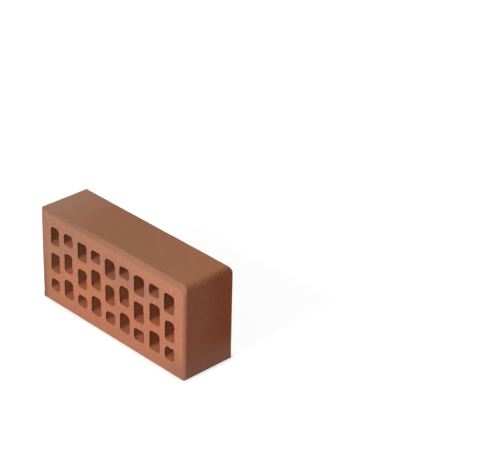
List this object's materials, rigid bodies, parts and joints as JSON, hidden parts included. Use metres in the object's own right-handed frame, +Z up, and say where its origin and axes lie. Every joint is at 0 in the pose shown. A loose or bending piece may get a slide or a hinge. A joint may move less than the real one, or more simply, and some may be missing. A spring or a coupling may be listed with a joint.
{
  "type": "facing brick",
  "caption": "Extruded clay facing brick with staggered rows of rounded perforations, bevelled facing edges, one round corner and plain, sand-fine faces, lying on its long side.",
  "frame": {"origin": "middle of the stretcher face that the brick lies on", "axes": "+X along the brick's length, +Y along the holes from the front bed face to the back one, +Z up through the brick's width"},
  "size_m": [0.24, 0.071, 0.115],
  "materials": {
    "fired_clay": "matte"
  },
  "bodies": {
    "root": {"brick": "fired_clay"}
  },
  "joints": []
}
